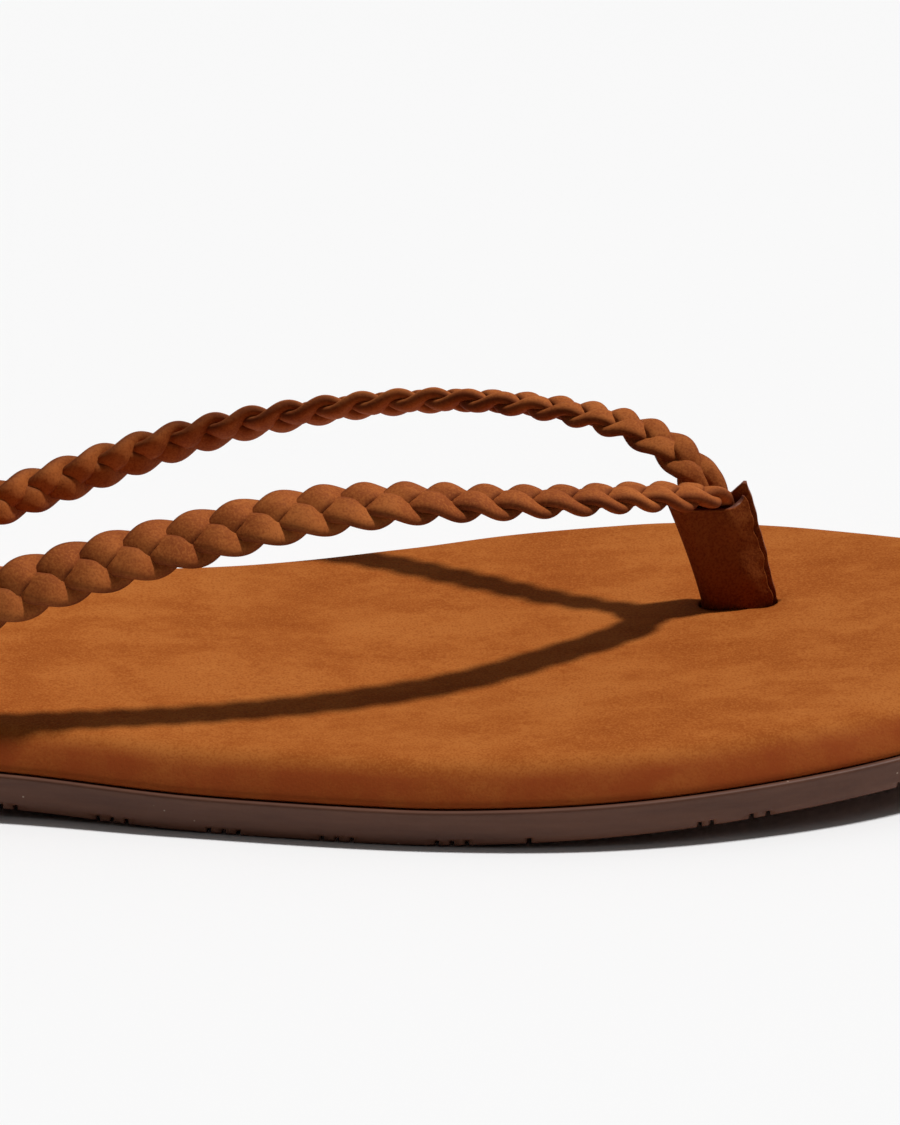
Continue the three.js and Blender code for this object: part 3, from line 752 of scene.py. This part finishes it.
def leather(name, main, pale, dark, clouds, nap, bump_depth, painted_shade=None, **settings):
    """Brushed leather. The optional tuple after the bump depth names a mask of the piece,
    the darker colour painted there as shade, and how strongly."""
    material, tree, shader, place = new_material(name, **settings)
    made = use_group(tree, NAP, {
        "Vector": place["Object"], "Main": main, "Pale": pale, "Dark": dark,
        "Clouds": clouds, "Nap": nap})
    colour = made["Colour"]
    if painted_shade:
        mask, tint, amount = painted_shade
        # the mask marks where shade is painted into the colour; a patchy noise varies it
        shade_mask = add(tree, "ShaderNodeAttribute", attribute_name=mask).outputs["Fac"]
        patchy = ramp(tree, noise(tree, place["Object"], 170.0, 3.0, 0.6), [(0.3, 0.55), (0.6, 1.0)])
        share = times(tree, times(tree, shade_mask, patchy), amount)
        colour = mix_colour(tree, share, colour, tint)
    tree.links.new(colour, shader.inputs["Base Color"])
    tree.links.new(made["Rough"], shader.inputs["Roughness"])
    bump(tree, shader, made["Height"], 0.5, bump_depth)
    return material


def rubber():
    """Dark moulded rubber: two close browns in smears along the sole, and dust."""
    material, tree, shader, place = new_material("sole_rubber_brown", 0.55, Specular_IOR_Level=0.3)
    vector = place["Object"]
    smear = add(tree, "ShaderNodeMapping", {"Vector": vector, "Scale": (0.2, 1.0, 2.0)}).outputs[0]
    tone = ramp(tree, noise(tree, smear, 300.0, 4.0, 0.6), [(0.3, 0.0), (0.7, 1.0)])
    colour = mix_colour(tree, tone, srgb(89, 54, 39), srgb(105, 66, 48))
    dust = use_group(tree, DUST, {"Vector": vector, "Scale": 850.0, "Amount": 0.75})["Mask"]
    colour = mix_colour(tree, dust, colour, srgb(190, 165, 145))
    tree.links.new(colour, shader.inputs["Base Color"])
    grain = noise(tree, vector, 2200.0, 2.0)
    roughness = plus(tree, times(tree, grain, 0.25), 0.42)
    tree.links.new(roughness, shader.inputs["Roughness"])
    bump(tree, shader, grain, 0.25, 0.00004)
    return material


def raw_edge():
    """Cut edge of leather: fibrous, with streaks of pale dried glue."""
    material, tree, shader, place = new_material("raw_leather_edge", 0.85)
    vector = place["Object"]
    fibre = noise(tree, vector, 2400.0, 4.0, 0.7)
    colour = mix_colour(tree, fibre, srgb(70, 22, 10), srgb(150, 80, 48))
    glue = ramp(tree, noise(tree, vector, 420.0, 3.0, 0.6), [(0.56, 0.0), (0.66, 1.0)])
    colour = mix_colour(tree, times(tree, glue, 0.55), colour, srgb(190, 150, 130))
    tree.links.new(colour, shader.inputs["Base Color"])
    bump(tree, shader, fibre, 0.8, 0.00015)
    return material


def plain_layer(name, first, second, scale, roughness):
    """A hidden layer: two tones of fibre or foam with a fine bump."""
    material, tree, shader, place = new_material(name, roughness)
    grain = noise(tree, place["Object"], scale, 4.0, 0.65)
    tree.links.new(mix_colour(tree, grain, first, second), shader.inputs["Base Color"])
    bump(tree, shader, grain, 0.5, 0.0001)
    return material


def make_materials():
    """Every material, by its slot in the part; raw_edge is the post's second one."""
    return {
        "sole_rubber": rubber(),
        # the footbed's rounded edge is darkened through the rolled mask as painted shade
        "footbed_nubuck": leather(
            "footbed_nubuck_tan", srgb(168, 92, 36), srgb(182, 108, 49), srgb(142, 68, 19),
            0.75, 0.5, 0.00008, ("rolled", srgb(146, 64, 26), 0.9), Specular_IOR_Level=0.06),
        "post_leather": leather(
            "post_leather_tan", srgb(134, 66, 26), srgb(150, 82, 36), srgb(104, 40, 11),
            0.5, 0.6, 0.0001, Specular_IOR_Level=0.06),
        # the strands' narrow sides, in the braid's creases, are darkened through the side mask as
        # painted shade
        "strap_leather": leather(
            "strap_leather_tan", srgb(164, 88, 38), srgb(184, 108, 52), srgb(124, 56, 20),
            0.7, 0.4, 0.0001, ("side", srgb(84, 32, 12), 0.85), Specular_IOR_Level=0.12),
        "raw_edge": raw_edge(),
        "cushion_foam": plain_layer(
            "cushion_foam_cream", srgb(216, 199, 168), srgb(196, 178, 146), 1800.0, 0.95),
        "filler_foam": plain_layer(
            "filler_foam_cream", srgb(216, 199, 168), srgb(190, 172, 140), 1200.0, 0.95),
        "fibre_board": plain_layer(
            "fibre_board_brown", srgb(150, 124, 94), srgb(120, 96, 70), 900.0, 0.85),
    }


def finish_piece(piece, node, slot, *materials):
    """Gives a new piece its materials and ties it to the part."""
    piece.data.materials.clear()
    for material in materials:
        piece.data.materials.append(material)
    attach(piece, "root")
    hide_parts(node)


# ================================ the scene =================================
TARGET = np.array([47.0, 27.15, 9.0]) * MM
DISTANCE = 0.8
ELEVATION = math.radians(20.7)
LENS = 206.24
KEY_TRAVELS = (-0.5, -0.2, -1.0)
KEY_STRENGTH = 3.1
KEY_ANGLE = 5.0
# direction of the brightest part of the sky
FILL_FROM = (0.22, 0.5, 0.84)
FILL_STRENGTH = 0.42
FLOOR_HALF_SIDE = 1600.0
FLOOR_POINTS = 9
FLOOR_DROP = 0.02


def camera():
    """A long lens looking along +Y and down at the outer side of the forefoot."""
    data = bpy.data.cameras.new("camera")
    data.lens = LENS
    data.sensor_width = 36.0
    data.clip_start = 0.05
    data.clip_end = 20.0
    view = bpy.data.objects.new("camera", data)
    back = np.array([0.0, -math.cos(ELEVATION), math.sin(ELEVATION)])
    view.location = (TARGET + back * DISTANCE).tolist()
    view.rotation_euler = (math.pi / 2 - ELEVATION, 0, 0)
    bpy.context.scene.collection.objects.link(view)
    bpy.context.scene.camera = view


def sun(name, travels, strength, angle):
    """A distant lamp whose light travels in the given direction."""
    data = bpy.data.lights.new(name, "SUN")
    data.energy = strength
    data.angle = math.radians(angle)
    lamp = bpy.data.objects.new(name, data)
    lamp.rotation_mode = "QUATERNION"
    lamp.rotation_quaternion = Vector(travels).to_track_quat("-Z", "Y")
    bpy.context.scene.collection.objects.link(lamp)


def surround():
    """Fill light: the sky glows from above and behind the shoe and is dark in front."""
    world = bpy.data.worlds.new("studio")
    bpy.context.scene.world = world
    world.use_nodes = True
    tree = world.node_tree
    background = tree.nodes["Background"]
    background.inputs["Strength"].default_value = FILL_STRENGTH
    way = tree.nodes.new("ShaderNodeTexCoord").outputs["Generated"]
    facing = add(tree, "ShaderNodeVectorMath", {0: way, 1: FILL_FROM}, operation="DOT_PRODUCT")
    glow = ramp(tree, facing.outputs["Value"], [(0.0, 0.015), (0.35, 0.08), (0.75, 0.6), (1.0, 1.0)])
    tree.links.new(glow, background.inputs["Color"])


def pale_floor():
    """A flat grid just under the sole, with the faintest change of tone."""
    grid = np.linspace(-FLOOR_HALF_SIDE, FLOOR_HALF_SIDE, FLOOR_POINTS)
    x, y = np.meshgrid(grid, grid)
    points = np.stack([x, y, np.full(x.shape, -FLOOR_DROP)], -1).reshape(-1, 3)
    floor = make_mesh("floor", points, [grid_faces(FLOOR_POINTS, FLOOR_POINTS)])
    material, tree, shader, place = new_material("floor_paper", 0.9)
    tone = noise(tree, place["Object"], 6.0, 2.0)
    tree.links.new(mix_colour(tree, tone, (0.9, 0.9, 0.9, 1), (0.91, 0.91, 0.91, 1)),
                   shader.inputs["Base Color"])
    floor.data.materials.append(material)


def build():
    """Makes every new piece and gives the hidden layers their materials."""
    materials = make_materials()
    finish_piece(outsole(), "outsole", "sole_rubber", materials["sole_rubber"])
    cover = footbed()
    finish_piece(cover, "footbed_cover", "footbed_nubuck", materials["footbed_nubuck"])
    finish_piece(post_sleeve(), "toe_post_sleeve", "post_leather",
                 materials["post_leather"], materials["raw_edge"])
    for strap in STRAPS:
        for index in range(3):
            finish_piece(strand(strap, index), f"{strap['name']}_strand_{index + 1}",
                         "strap_leather", materials["strap_leather"])
    for node, slot in (("midsole_filler", "filler_foam"), ("insole_board", "fibre_board"),
                       ("footbed_foam", "cushion_foam")):
        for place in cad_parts[node].material_slots:
            place.material = materials[slot]


bpy.context.scene.view_settings.view_transform = "Standard"
bpy.context.scene.view_settings.look = "None"
camera()
surround()
sun("key", KEY_TRAVELS, KEY_STRENGTH, KEY_ANGLE)
pale_floor()
build()
